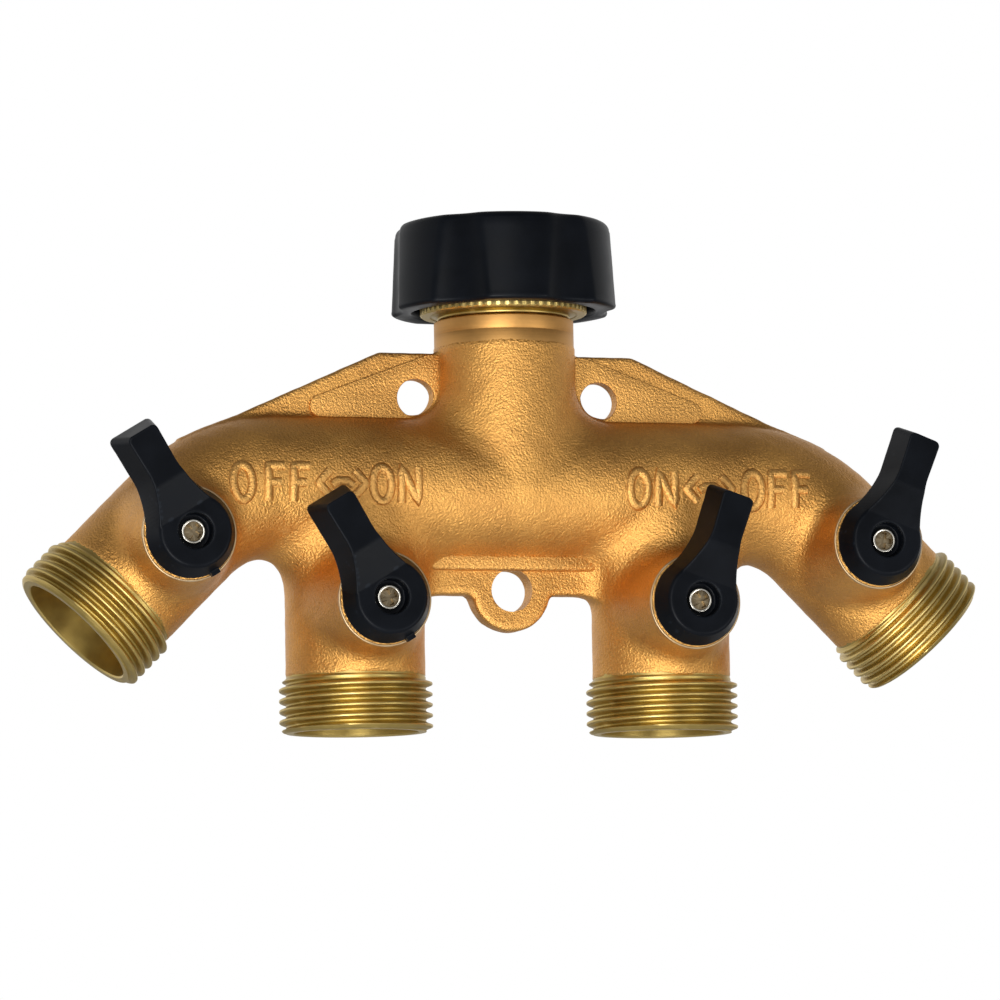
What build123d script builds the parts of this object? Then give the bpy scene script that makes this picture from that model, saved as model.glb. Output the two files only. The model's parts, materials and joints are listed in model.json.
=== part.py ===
"""Four-way brass tap splitter: a swivel inlet nut, a cast manifold and four lever ball valves.

The frame: +X across the four outlets, +Z up, -Y towards the levers. The origin is the centre
of the inlet nut's mouth, on the neck's axis. All sizes are in millimetres.
"""
import math
import os

from build123d import *

os.makedirs("parts", exist_ok=True)

# Pipe thread of the inlet and of every outlet: parallel 3/4 inch, 14 turns to the inch.
THREAD_CREST_R = 13.22
THREAD_MINOR_R = 12.06
THREAD_LENGTH = 9.6
THREAD_CHAMFER = 0.9

# Centre lines of the casting, all in the plane Y = 0.
HEADER_Z = -46.3
INNER_X = 27.7
INNER_STEM_Z = -67.0
OUTER_STEM_X = 61.55
OUTER_STEM_Z = -56.35
STEM_TO_MOUTH = 21.5
OUTER_TURN = 45.0
OUTER_BEND_R = 24.0

# Cast tubes and the waterways in them.
TUBE_R = 11.9
NECK_R = 12.1
SHOULDER_Z = -17.0
SPIGOT_TUBE_R = 10.5
NECK_TOP_Z = -12.4
HEADER_BORE_R = 8.0
NECK_BORE_R = 8.5
SUPPLY_BORE_R = 5.6

# Upper webs beside the neck and the lower lug, with their screw holes.
WEB_TOP_Z = -22.8
WEB_SHOULDER_X = 23.0
WEB_TOE_X = 58.0
WEB_TOE_Z = -38.4
WEB_HALF_T = 1.25
WEB_HOLE_X = 16.6
WEB_HOLE_Z = -30.7
WEB_HOLE_R = 3.35
LUG_HOLE_Z = -63.9
LUG_HOLE_R = 3.7
LUG_R = 7.1
LUG_HALF_T = 2.2
BRIDGE_BOTTOM_Z = -64.7

# Swivel nut: a knurled brass insert in a scalloped grip, held on the neck by a snap ring.
GRIP_BASE_Z = -15.4
GRIP_BASE_R = 19.8
GRIP_TOP_R = 18.7
GRIP_TOP_FILLET = 1.6
GRIP_BASE_FILLET = 0.6
LOBES = 6
LOBE_PHASE = -100.0
SCALLOP_DEPTH = 1.7
SCALLOP_R = 12.7
GRIP_UNDERCUT_R = 16.0
GRIP_UNDERCUT_DEPTH = 2.0
INSERT_R = 14.5
INSERT_BASE_Z = -15.9
KNURL_TEETH = 60
KNURL_DEPTH = 0.35
INLET_THREAD_LENGTH = 10.0
NUT_CAVITY_R = 13.4
COLLAR_TOP_Z = -14.6
COLLAR_BORE_R = 10.8
LIP_R = 11.5
LIP_Z = -16.7
RING_GROOVE_Z = -14.4
RING_GROOVE_H = 1.2
RING_GROOVE_R = 9.8
RING_OUTER_R = 11.9
RING_GAP_DEG = 24.0
WASHER_OUTER_R = 12.9
WASHER_INNER_R = 8.5
WASHER_TOP_Z = -10.2

# Ball valve, along the branch (s) and along the stem (h), both from the ball's centre.
BALL_R = 8.4
BALL_PORT_R = 5.5
BALL_SLOT_W = 3.3
BALL_SLOT_H = 6.3
POCKET_R = 9.8
POCKET_S = 9.1
MOUTH_BORE_R = 10.75
MOUTH_BORE_DEPTH = 9.0
SEAT_R = 9.6
SEAT_NEAR_S = 5.8
SEAT_FAR_S = 9.0
SEAT_GAP = 0.1
RETAINER_R = 9.7
RETAINER_S = 12.4
RETAINER_FLATS_R = 6.5

# Stem, its gland in the boss, and the boss itself.
STEM_R = 4.0
STEM_BORE_R = 4.05
TANG_W = 3.0
TANG_LENGTH = 8.0
TANG_H = 6.5
FLANGE_R = 5.4
FLANGE_H = 8.9
FLANGE_TOP_H = 10.3
STEM_SHOULDER_H = 11.4
STEM_POCKET_R = 5.7
STEM_WASHER_R = 5.5
STEM_WASHER_BORE_R = 4.2
O_RING_HEIGHTS = (12.9, 14.9)
O_RING_SECTION_R = 0.55
O_RING_MEAN_R = 3.45
GROOVE_W = 1.3
STEM_ROUND_TOP_H = 16.3
DRIVE_SQUARE = 4.8
DRIVE_TOP_H = 19.9
TAPPED_R = 1.3
TAPPED_BOTTOM_H = 13.5
BOSS_FOOT_R = 10.9
BOSS_FOOT_H = 5.0
BOSS_FACE_R = 8.1
BOSS_FACE_H = 18.7
STOP_RECESS_R = 6.2
STOP_RECESS_H = 16.2
STOP_LUG_R = 4.85
STOP_LUG_DEG = 40.0

# Lever and its screw.
HUB_BASE_R = 7.7
HUB_FACE_R = 6.2
HUB_BASE_H = 19.1
HUB_FACE_H = 23.1
HANDLE_H = 25.3
HANDLE_LENGTH = 20.2
HANDLE_TIP_HALF_W = 4.0
HANDLE_WAIST_HALF_W = 3.7
HANDLE_WAIST_Y = 11.5
RAMP_START_Y = 5.5
RAMP_END_Y = 11.0
SPIGOT_R = 5.9
SPIGOT_WAIST_R = 4.6
SPIGOT_H = 16.6
SOCKET_SQUARE = 5.0
SOCKET_H = 20.0
HEAD_SEAT_H = 20.6
HEAD_RECESS_R = 3.0
HEAD_R = 2.1
HEAD_TOP_H = 21.5
SCREW_R = 1.2
SCREW_END_H = 14.6
SCREW_HOLE_R = 1.45
CROSS_W = 0.6
CROSS_LENGTH = 2.6
CROSS_DEPTH = 0.6

# Small gap left where two still pieces face each other.
FIT_GAP = 0.05
HEX_SIDES = 6

# Quarter turn of every valve, and where its lever stands at rest.
TRAVEL = 90.0
STOP_PLAY = 1.5
CLOSED_LEAN = 31.0
LEVER_LEAN = {"outer_left": 31.0, "inner_left": 31.0, "inner_right": 19.0, "outer_right": 21.0}


# Places worked out from the dimensions above.
BEND_X = OUTER_STEM_X - (HEADER_Z - OUTER_STEM_Z)
MOUTH_OUT = STEM_TO_MOUTH * math.sin(math.radians(OUTER_TURN))
MOUTH_DOWN = STEM_TO_MOUTH * math.cos(math.radians(OUTER_TURN))
OUTER_MOUTH_X = OUTER_STEM_X + MOUTH_OUT
OUTER_MOUTH_Z = OUTER_STEM_Z - MOUTH_DOWN
SPIGOT_NOTCH_DEG = TRAVEL + STOP_LUG_DEG + 2 * STOP_PLAY


class Valve:
    """Where one ball valve stands: its name, its side of the middle and its branch."""

    def __init__(self, name, side, stem_x, stem_z, turn):
        self.name = name
        self.centre = (side * stem_x, 0, stem_z)
        flow = (side * math.sin(math.radians(turn)), 0, -math.cos(math.radians(turn)))
        self.flow = Plane(origin=self.centre, x_dir=(0, -1, 0), z_dir=flow)
        still_to_open = TRAVEL - (CLOSED_LEAN - LEVER_LEAN[name])
        self.front = self.face_plane(0)
        self.lever = self.face_plane(-side * LEVER_LEAN[name])
        self.ball = self.face_plane(side * (turn - still_to_open))
        self.stop = self.face_plane(side * (TRAVEL / 2 - CLOSED_LEAN))

    def face_plane(self, angle):
        """Plane through the ball's centre facing the front, turned anticlockwise by angle."""
        across = (math.cos(math.radians(angle)), 0, math.sin(math.radians(angle)))
        return Plane(origin=self.centre, x_dir=across, z_dir=(0, -1, 0))

    def mouth(self):
        """Plane of the branch's open end, facing back up the branch."""
        end = self.flow.offset(STEM_TO_MOUTH)
        return Plane(origin=end.origin, x_dir=end.x_dir, z_dir=-end.z_dir)


VALVES = [
    Valve("outer_left", -1, OUTER_STEM_X, OUTER_STEM_Z, OUTER_TURN),
    Valve("inner_left", -1, INNER_X, INNER_STEM_Z, 0.0),
    Valve("inner_right", 1, INNER_X, INNER_STEM_Z, 0.0),
    Valve("outer_right", 1, OUTER_STEM_X, OUTER_STEM_Z, OUTER_TURN),
]


def finish(block, label):
    """Label a finished piece and write its STEP file."""
    block.part.label = label
    export_step(block.part, f"parts/{label}.step")


def fan(spread, radius):
    """Points of a wedge of the given spread in degrees, centred straight down."""
    half = math.radians(spread / 2)
    rim = [-half, -half / 2, 0, half / 2, half]
    return [(0, 0)] + [(radius * math.sin(a), -radius * math.cos(a)) for a in rim]


# Manifold: header and outer branches in one swept tube, inner branches, neck, bosses,
# threaded ends, webs and lug, then the waterways and valve pockets cut from them.
LEFT_MOUTH = (-OUTER_MOUTH_X, 0, OUTER_MOUTH_Z)
LEFT_BEND = (-BEND_X, 0, HEADER_Z)
RIGHT_BEND = (BEND_X, 0, HEADER_Z)
RIGHT_MOUTH = (OUTER_MOUTH_X, 0, OUTER_MOUTH_Z)
MID_PLANE = Plane(origin=(0, 0, 0), x_dir=(1, 0, 0), z_dir=(0, -1, 0))
CHAMFER_TAPER = 45.0
BOSS_TAPER = math.degrees(math.atan((BOSS_FOOT_R - BOSS_FACE_R) / (BOSS_FACE_H - BOSS_FOOT_H)))

with BuildPart() as manifold:
    with BuildLine() as header_line:
        FilletPolyline(LEFT_MOUTH, LEFT_BEND, RIGHT_BEND, RIGHT_MOUTH, radius=OUTER_BEND_R)
    with BuildSketch(Plane(origin=LEFT_MOUTH, z_dir=header_line.line % 0)):
        Circle(TUBE_R)
    sweep(path=header_line.line)
    with BuildSketch(Plane.XY.offset(HEADER_Z)):
        Circle(NECK_R)
    extrude(amount=SHOULDER_Z - HEADER_Z)
    with BuildSketch(Plane.XY.offset(SHOULDER_Z)):
        Circle(SPIGOT_TUBE_R)
    extrude(amount=NECK_TOP_Z - SHOULDER_Z)
    with BuildSketch(Plane.XY.offset(HEADER_Z)):
        with Locations((-INNER_X, 0), (INNER_X, 0)):
            Circle(TUBE_R)
    extrude(amount=INNER_STEM_Z - STEM_TO_MOUTH - HEADER_Z)
    for valve in VALVES:
        with BuildSketch(valve.mouth()):
            Circle(THREAD_CREST_R - THREAD_CHAMFER)
        extrude(amount=THREAD_CHAMFER, taper=-CHAMFER_TAPER)
        with BuildSketch(valve.mouth().offset(THREAD_CHAMFER)):
            Circle(THREAD_CREST_R)
        extrude(amount=THREAD_LENGTH - THREAD_CHAMFER)
        with BuildSketch(valve.front.offset(BOSS_FOOT_H)):
            Circle(BOSS_FOOT_R)
        extrude(amount=BOSS_FACE_H - BOSS_FOOT_H, taper=BOSS_TAPER)
    with BuildSketch(MID_PLANE):
        Polygon(
            (-WEB_SHOULDER_X, WEB_TOP_Z), (WEB_SHOULDER_X, WEB_TOP_Z), (WEB_TOE_X, WEB_TOE_Z),
            (WEB_TOE_X - TUBE_R, HEADER_Z), (TUBE_R - WEB_TOE_X, HEADER_Z),
            (-WEB_TOE_X, WEB_TOE_Z), align=None,
        )
        with Locations((-WEB_HOLE_X, WEB_HOLE_Z), (WEB_HOLE_X, WEB_HOLE_Z)):
            Circle(WEB_HOLE_R, mode=Mode.SUBTRACT)
    extrude(amount=WEB_HALF_T, both=True)
    with BuildSketch(MID_PLANE):
        Polygon(
            (-INNER_X, HEADER_Z), (INNER_X, HEADER_Z), (INNER_X, BRIDGE_BOTTOM_Z),
            (-INNER_X, BRIDGE_BOTTOM_Z), align=None,
        )
        with Locations((0, LUG_HOLE_Z)):
            Circle(LUG_R)
            Circle(LUG_HOLE_R, mode=Mode.SUBTRACT)
    extrude(amount=LUG_HALF_T, both=True)

    with BuildSketch(Plane(origin=LEFT_MOUTH, z_dir=header_line.line % 0)):
        Circle(SUPPLY_BORE_R)
    sweep(path=header_line.line, mode=Mode.SUBTRACT)
    with BuildSketch(Plane.YZ.offset(-INNER_X)):
        with Locations((0, HEADER_Z)):
            Circle(HEADER_BORE_R)
    extrude(amount=2 * INNER_X, mode=Mode.SUBTRACT)
    with BuildSketch(Plane.XY.offset(HEADER_Z)):
        Circle(NECK_BORE_R)
    extrude(amount=NECK_TOP_Z - HEADER_Z, mode=Mode.SUBTRACT)
    with BuildSketch(Plane.XY.offset(HEADER_Z)):
        with Locations((-INNER_X, 0), (INNER_X, 0)):
            Circle(SUPPLY_BORE_R)
    extrude(amount=INNER_STEM_Z - HEADER_Z, mode=Mode.SUBTRACT)
    with BuildSketch(Plane.XY.offset(RING_GROOVE_Z)):
        Circle(NECK_R)
        Circle(RING_GROOVE_R, mode=Mode.SUBTRACT)
    extrude(amount=RING_GROOVE_H, mode=Mode.SUBTRACT)
    for valve in VALVES:
        with BuildSketch(valve.mouth()):
            Circle(MOUTH_BORE_R)
        extrude(amount=MOUTH_BORE_DEPTH, mode=Mode.SUBTRACT)
        with BuildSketch(valve.mouth()):
            Circle(POCKET_R)
        extrude(amount=STEM_TO_MOUTH + POCKET_S, mode=Mode.SUBTRACT)
        with BuildSketch(valve.front):
            Circle(STEM_POCKET_R)
        extrude(amount=STEM_SHOULDER_H, mode=Mode.SUBTRACT)
        with BuildSketch(valve.front):
            Circle(STEM_BORE_R)
        extrude(amount=BOSS_FACE_H, mode=Mode.SUBTRACT)
        with BuildSketch(valve.stop.offset(STOP_RECESS_H)):
            Circle(STOP_RECESS_R)
            Polygon(*fan(STOP_LUG_DEG, 2 * STOP_RECESS_R), align=None, mode=Mode.SUBTRACT)
            Circle(STOP_LUG_R)
        extrude(amount=BOSS_FACE_H - STOP_RECESS_H, mode=Mode.SUBTRACT)
finish(manifold, "manifold_body")


# Swivel nut: brass insert, grip, the snap ring on the neck and the washer above it.
with BuildPart() as nut:
    with BuildSketch(Plane.XY):
        Circle(INSERT_R)
        with PolarLocations(INSERT_R, KNURL_TEETH):
            Circle(KNURL_DEPTH, mode=Mode.SUBTRACT)
    extrude(amount=INSERT_BASE_Z)
    with BuildSketch(Plane.XY.offset(INSERT_BASE_Z)):
        Circle(LIP_R)
    extrude(amount=LIP_Z - INSERT_BASE_Z)
    with BuildSketch(Plane.XY):
        Circle(THREAD_MINOR_R)
    extrude(amount=-INLET_THREAD_LENGTH, mode=Mode.SUBTRACT)
    with BuildSketch(Plane.XY.offset(-INLET_THREAD_LENGTH)):
        Circle(NUT_CAVITY_R)
    extrude(amount=COLLAR_TOP_Z + INLET_THREAD_LENGTH, mode=Mode.SUBTRACT)
    with BuildSketch(Plane.XY.offset(COLLAR_TOP_Z)):
        Circle(COLLAR_BORE_R)
    extrude(amount=LIP_Z - COLLAR_TOP_Z, mode=Mode.SUBTRACT)
finish(nut, "swivel_nut")

with BuildPart() as grip:
    with BuildSketch(Plane.XZ):
        Polygon(
            (INSERT_R + FIT_GAP, 0), (GRIP_TOP_R, 0), (GRIP_BASE_R, GRIP_BASE_Z),
            (GRIP_UNDERCUT_R, GRIP_BASE_Z), (GRIP_UNDERCUT_R, GRIP_BASE_Z + GRIP_UNDERCUT_DEPTH),
            (INSERT_R + FIT_GAP, GRIP_BASE_Z + GRIP_UNDERCUT_DEPTH), align=None,
        )
    revolve(axis=Axis.Z)
    outer_rims = grip.edges().filter_by(GeomType.CIRCLE).sort_by(SortBy.RADIUS)
    fillet(outer_rims[-1], radius=GRIP_BASE_FILLET)
    outer_rims = grip.edges().filter_by(GeomType.CIRCLE).group_by(Axis.Z)[-1]
    fillet(outer_rims.sort_by(SortBy.RADIUS)[-1], radius=GRIP_TOP_FILLET)
    with BuildSketch(Plane.XY):
        with PolarLocations(
            GRIP_BASE_R - SCALLOP_DEPTH + SCALLOP_R, LOBES, start_angle=LOBE_PHASE + 180 / LOBES
        ):
            Circle(SCALLOP_R)
    extrude(amount=GRIP_BASE_Z, mode=Mode.SUBTRACT)
finish(grip, "swivel_nut_grip")

with BuildPart() as ring:
    with BuildSketch(Plane.XY.offset(RING_GROOVE_Z + FIT_GAP)):
        Circle(RING_OUTER_R)
        Circle(RING_GROOVE_R + FIT_GAP, mode=Mode.SUBTRACT)
        Polygon(*fan(RING_GAP_DEG, 2 * RING_OUTER_R), align=None, mode=Mode.SUBTRACT)
    extrude(amount=RING_GROOVE_H - 2 * FIT_GAP)
finish(ring, "nut_retaining_ring")

with BuildPart() as washer:
    with BuildSketch(Plane.XY.offset(NECK_TOP_Z)):
        Circle(WASHER_OUTER_R)
        Circle(WASHER_INNER_R, mode=Mode.SUBTRACT)
    extrude(amount=WASHER_TOP_Z - NECK_TOP_Z)
finish(washer, "inlet_washer")


def make_seats(valve):
    """The two soft seat rings of a valve and the threaded ring that holds them in."""
    for label, toward_mouth in (("inlet_seat", False), ("outlet_seat", True)):
        start = SEAT_NEAR_S if toward_mouth else -SEAT_FAR_S
        with BuildPart(valve.flow) as seat:
            with BuildSketch(valve.flow.offset(start)):
                Circle(SEAT_R)
                Circle(BALL_PORT_R, mode=Mode.SUBTRACT)
            extrude(amount=SEAT_FAR_S - SEAT_NEAR_S)
            Sphere(BALL_R + SEAT_GAP, mode=Mode.SUBTRACT)
        finish(seat, f"{valve.name}_{label}")
    with BuildPart() as retainer:
        with BuildSketch(valve.flow.offset(SEAT_FAR_S)):
            Circle(RETAINER_R)
            RegularPolygon(RETAINER_FLATS_R, HEX_SIDES, major_radius=False, mode=Mode.SUBTRACT)
        extrude(amount=RETAINER_S - SEAT_FAR_S)
    finish(retainer, f"{valve.name}_seat_retainer")


def make_ball_and_stem(valve):
    """The ball, the stem whose tang turns it, and the stem's washer and seals."""
    with BuildPart(valve.ball) as ball:
        Sphere(BALL_R)
        Cylinder(BALL_PORT_R, 3 * BALL_R, rotation=(90, 0, 0), mode=Mode.SUBTRACT)
        with BuildSketch(valve.ball.offset(BALL_SLOT_H)):
            Rectangle(2 * BALL_R, BALL_SLOT_W)
        extrude(amount=BALL_R, mode=Mode.SUBTRACT)
    finish(ball, f"{valve.name}_ball")

    with BuildPart() as stem:
        with BuildSketch(valve.ball.offset(TANG_H)):
            Rectangle(TANG_LENGTH, TANG_W)
        extrude(amount=FLANGE_H - TANG_H)
        with BuildSketch(valve.ball.offset(FLANGE_H)):
            Circle(FLANGE_R)
        extrude(amount=FLANGE_TOP_H - FLANGE_H)
        with BuildSketch(valve.ball.offset(FLANGE_TOP_H)):
            Circle(STEM_R)
        extrude(amount=STEM_ROUND_TOP_H - FLANGE_TOP_H)
        with BuildSketch(valve.lever.offset(STEM_ROUND_TOP_H)):
            Rectangle(DRIVE_SQUARE, DRIVE_SQUARE)
        extrude(amount=DRIVE_TOP_H - STEM_ROUND_TOP_H)
        with BuildSketch(valve.lever.offset(TAPPED_BOTTOM_H)):
            Circle(TAPPED_R)
        extrude(amount=DRIVE_TOP_H - TAPPED_BOTTOM_H, mode=Mode.SUBTRACT)
        for height in O_RING_HEIGHTS:
            with BuildSketch(valve.ball.offset(height - GROOVE_W / 2)):
                Circle(STEM_R)
                Circle(O_RING_MEAN_R - O_RING_SECTION_R, mode=Mode.SUBTRACT)
            extrude(amount=GROOVE_W, mode=Mode.SUBTRACT)
    finish(stem, f"{valve.name}_stem")

    with BuildPart() as stem_washer:
        with BuildSketch(valve.front.offset(FLANGE_TOP_H + FIT_GAP)):
            Circle(STEM_WASHER_R)
            Circle(STEM_WASHER_BORE_R, mode=Mode.SUBTRACT)
        extrude(amount=STEM_SHOULDER_H - FLANGE_TOP_H - FIT_GAP)
    finish(stem_washer, f"{valve.name}_stem_washer")

    with BuildPart() as seals:
        for height in O_RING_HEIGHTS:
            with Locations(valve.front.offset(height)):
                Torus(O_RING_MEAN_R, O_RING_SECTION_R)
    finish(seals, f"{valve.name}_stem_seals")


def make_lever(valve):
    """The moulded lever and the screw that holds it on the stem's square."""
    side_view = Plane(
        origin=valve.lever.origin, x_dir=valve.lever.y_dir, z_dir=valve.lever.x_dir
    )
    hub_taper = math.degrees(math.atan((HUB_BASE_R - HUB_FACE_R) / (HUB_FACE_H - HUB_BASE_H)))
    with BuildPart() as lever:
        with BuildSketch(valve.lever.offset(HUB_BASE_H)):
            Polygon(
                (-HUB_FACE_R, 0), (HUB_FACE_R, 0), (HANDLE_WAIST_HALF_W, HANDLE_WAIST_Y),
                (HANDLE_TIP_HALF_W, HANDLE_LENGTH), (-HANDLE_TIP_HALF_W, HANDLE_LENGTH),
                (-HANDLE_WAIST_HALF_W, HANDLE_WAIST_Y), align=None,
            )
        extrude(amount=HANDLE_H - HUB_BASE_H)
        with BuildSketch(side_view):
            Polygon(
                (-HUB_BASE_R, HUB_FACE_H), (RAMP_START_Y, HUB_FACE_H), (RAMP_END_Y, HANDLE_H),
                (-HUB_BASE_R, HANDLE_H), align=None,
            )
        extrude(amount=HUB_BASE_R, both=True, mode=Mode.SUBTRACT)
        with BuildSketch(valve.lever.offset(HUB_BASE_H)):
            Circle(HUB_BASE_R)
        extrude(amount=HUB_FACE_H - HUB_BASE_H, taper=hub_taper)
        with BuildSketch(valve.lever.offset(SPIGOT_H)):
            Circle(SPIGOT_R)
            Polygon(*fan(SPIGOT_NOTCH_DEG, 2 * SPIGOT_R), align=None, mode=Mode.SUBTRACT)
            Circle(SPIGOT_WAIST_R)
        extrude(amount=HUB_BASE_H - SPIGOT_H)
        with BuildSketch(valve.lever.offset(SPIGOT_H)):
            Rectangle(SOCKET_SQUARE, SOCKET_SQUARE)
        extrude(amount=SOCKET_H - SPIGOT_H, mode=Mode.SUBTRACT)
        with BuildSketch(valve.lever.offset(SOCKET_H)):
            Circle(SCREW_HOLE_R)
        extrude(amount=HEAD_SEAT_H - SOCKET_H, mode=Mode.SUBTRACT)
        with BuildSketch(valve.lever.offset(HEAD_SEAT_H)):
            Circle(HEAD_RECESS_R)
        extrude(amount=HANDLE_H - HEAD_SEAT_H, mode=Mode.SUBTRACT)
    finish(lever, f"{valve.name}_lever")

    with BuildPart() as screw:
        with BuildSketch(valve.lever.offset(SCREW_END_H)):
            Circle(SCREW_R)
        extrude(amount=HEAD_SEAT_H - SCREW_END_H)
        with BuildSketch(valve.lever.offset(HEAD_SEAT_H)):
            Circle(HEAD_R)
        extrude(amount=HEAD_TOP_H - HEAD_SEAT_H)
        with BuildSketch(valve.lever.offset(HEAD_TOP_H)):
            Rectangle(CROSS_LENGTH, CROSS_W)
            Rectangle(CROSS_W, CROSS_LENGTH)
        extrude(amount=-CROSS_DEPTH, mode=Mode.SUBTRACT)
    finish(screw, f"{valve.name}_lever_screw")


for valve in VALVES:
    make_seats(valve)
    make_ball_and_stem(valve)
    make_lever(valve)
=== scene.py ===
"""Four-way brass tap splitter: the finished look of the casting, nut, levers and threads.

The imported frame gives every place: +X across the outlets, +Z up out of the inlet nut and -Y
towards the levers. Lengths below are millimetres; Blender's own unit is the metre.
"""

import json
import logging
import math
from dataclasses import dataclass
from enum import Enum
from typing import Callable, Iterable, Sequence

import bpy
import numpy as np
from mathutils import Matrix, Vector


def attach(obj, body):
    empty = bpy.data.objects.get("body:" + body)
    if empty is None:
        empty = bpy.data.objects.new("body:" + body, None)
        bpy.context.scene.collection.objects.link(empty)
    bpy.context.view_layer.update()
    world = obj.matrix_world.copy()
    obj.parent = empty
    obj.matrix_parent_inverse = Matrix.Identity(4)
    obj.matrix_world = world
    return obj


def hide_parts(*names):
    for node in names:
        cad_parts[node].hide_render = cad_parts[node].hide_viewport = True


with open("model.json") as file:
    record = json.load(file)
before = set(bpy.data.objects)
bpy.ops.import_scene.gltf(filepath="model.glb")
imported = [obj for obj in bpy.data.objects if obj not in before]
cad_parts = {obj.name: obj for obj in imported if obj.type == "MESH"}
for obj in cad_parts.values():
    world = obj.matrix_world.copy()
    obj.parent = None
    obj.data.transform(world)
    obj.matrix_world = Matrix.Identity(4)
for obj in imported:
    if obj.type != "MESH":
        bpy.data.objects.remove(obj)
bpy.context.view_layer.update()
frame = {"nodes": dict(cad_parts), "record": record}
MM = 0.001
MERGE = 1e-6
LOG = logging.getLogger("tap_splitter")

Points = Sequence[tuple[float, float]]
Rule = Callable[[np.ndarray], np.ndarray]


# ---------------------------------------------------------------- bench tools

def pick(*objects: bpy.types.Object) -> None:
    """Deselect everything, then select these objects and make the last one active.

    Args:
        objects: What to select.
    """
    bpy.ops.object.select_all(action="DESELECT")
    for obj in objects:
        obj.select_set(True)
        bpy.context.view_layer.objects.active = obj


def edit(operation: Callable[[], None]) -> None:
    """Run an operation in edit mode on everything in the active mesh.

    Args:
        operation: The work to do in edit mode.
    """
    bpy.ops.object.mode_set(mode="EDIT")
    bpy.ops.mesh.select_all(action="SELECT")
    operation()
    bpy.ops.object.mode_set(mode="OBJECT")


def weld() -> None:
    """Merge the doubles of the mesh in edit mode and turn its faces outwards."""
    bpy.ops.mesh.remove_doubles(threshold=MERGE)
    bpy.ops.mesh.normals_make_consistent(inside=False)


def apply_modifier(obj: bpy.types.Object, kind: str, **settings: object) -> None:
    """Add a modifier with these settings to an object and apply it.

    Args:
        obj: The mesh object.
        kind: The modifier's type, such as BEVEL.
        settings: Values for the modifier's properties.
    """
    pick(obj)
    modifier = obj.modifiers.new(kind.lower(), kind)
    for key, value in settings.items():
        setattr(modifier, key, value)
    bpy.ops.object.modifier_apply(modifier=modifier.name)


def reshape(obj: bpy.types.Object, rule: Rule) -> None:
    """Move every vertex by a rule.

    Args:
        obj: The mesh object.
        rule: Takes the vertices as rows of x, y, z in mm and returns their new places.
    """
    count = len(obj.data.vertices)
    flat = np.empty(count * 3, dtype=np.float32)
    obj.data.vertices.foreach_get("co", flat)
    moved = rule(flat.reshape(-1, 3).astype(float) / MM) * MM
    obj.data.vertices.foreach_set("co", moved.astype(np.float32).ravel())
    obj.data.update()


def smooth(obj: bpy.types.Object, angle: float = 35.0) -> None:
    """Shade smooth, keeping edges sharper than the angle in degrees."""
    pick(obj)
    bpy.ops.object.shade_smooth_by_angle(angle=math.radians(angle))


def place(obj: bpy.types.Object, matrix: Matrix) -> None:
    """Put a mesh where it belongs and leave its object unturned at the origin.

    Args:
        obj: The piece.
        matrix: Where it goes in the shared frame.
    """
    pick(obj)
    obj.matrix_world = matrix
    bpy.ops.object.transform_apply(location=True, rotation=True, scale=True)


def copy_of(obj: bpy.types.Object, name: str) -> bpy.types.Object:
    """A copy of an object under a new name, with its own mesh.

    Args:
        obj: What to copy.
        name: The copy's name.

    Returns:
        The copy.
    """
    twin = obj.copy()
    twin.data = obj.data.copy()
    twin.name = twin.data.name = name
    bpy.context.scene.collection.objects.link(twin)
    return twin


def scrap(*objects: bpy.types.Object) -> None:
    """Remove patterns and cutters that aren't pieces."""
    for obj in objects:
        bpy.data.objects.remove(obj, do_unlink=True)


def block(side: float) -> bpy.types.Object:
    """Add a cube on the origin.

    Args:
        side: Its side in mm.

    Returns:
        The cube.
    """
    bpy.ops.object.select_all(action="DESELECT")
    bpy.ops.mesh.primitive_cube_add(size=side * MM)
    return bpy.context.object


def mesh_of(name: str, curve: bpy.types.Curve) -> bpy.types.Object:
    """Turn a curve into a welded mesh.

    Args:
        name: The piece's name.
        curve: The curve's data.

    Returns:
        The mesh object.
    """
    obj = bpy.data.objects.new(name, curve)
    bpy.context.scene.collection.objects.link(obj)
    pick(obj)
    bpy.ops.object.convert(target="MESH")
    obj = bpy.context.object
    obj.name = obj.data.name = name
    edit(weld)
    return obj


def basis(origin: Vector, across: Vector, along: Vector) -> Matrix:
    """Matrix of a local frame.

    Args:
        origin: The local origin in mm.
        across: Direction of the local X axis.
        along: Direction of the local Z axis.

    Returns:
        The 4x4 matrix that carries local metres to the shared frame.
    """
    z_axis = along.normalized()
    x_axis = across.normalized()
    y_axis = z_axis.cross(x_axis)
    turn = Matrix((x_axis, y_axis, z_axis)).transposed().to_4x4()
    return Matrix.Translation(origin * MM) @ turn


def arc(centre: tuple[float, float], radius: float, start: float, end: float, steps: int = 5) -> Points:
    """Points of an arc from start to end, in degrees, ends included."""
    angles = [math.radians(start + (end - start) * i / steps) for i in range(steps + 1)]
    return [(centre[0] + radius * math.cos(a), centre[1] + radius * math.sin(a)) for a in angles]


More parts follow.
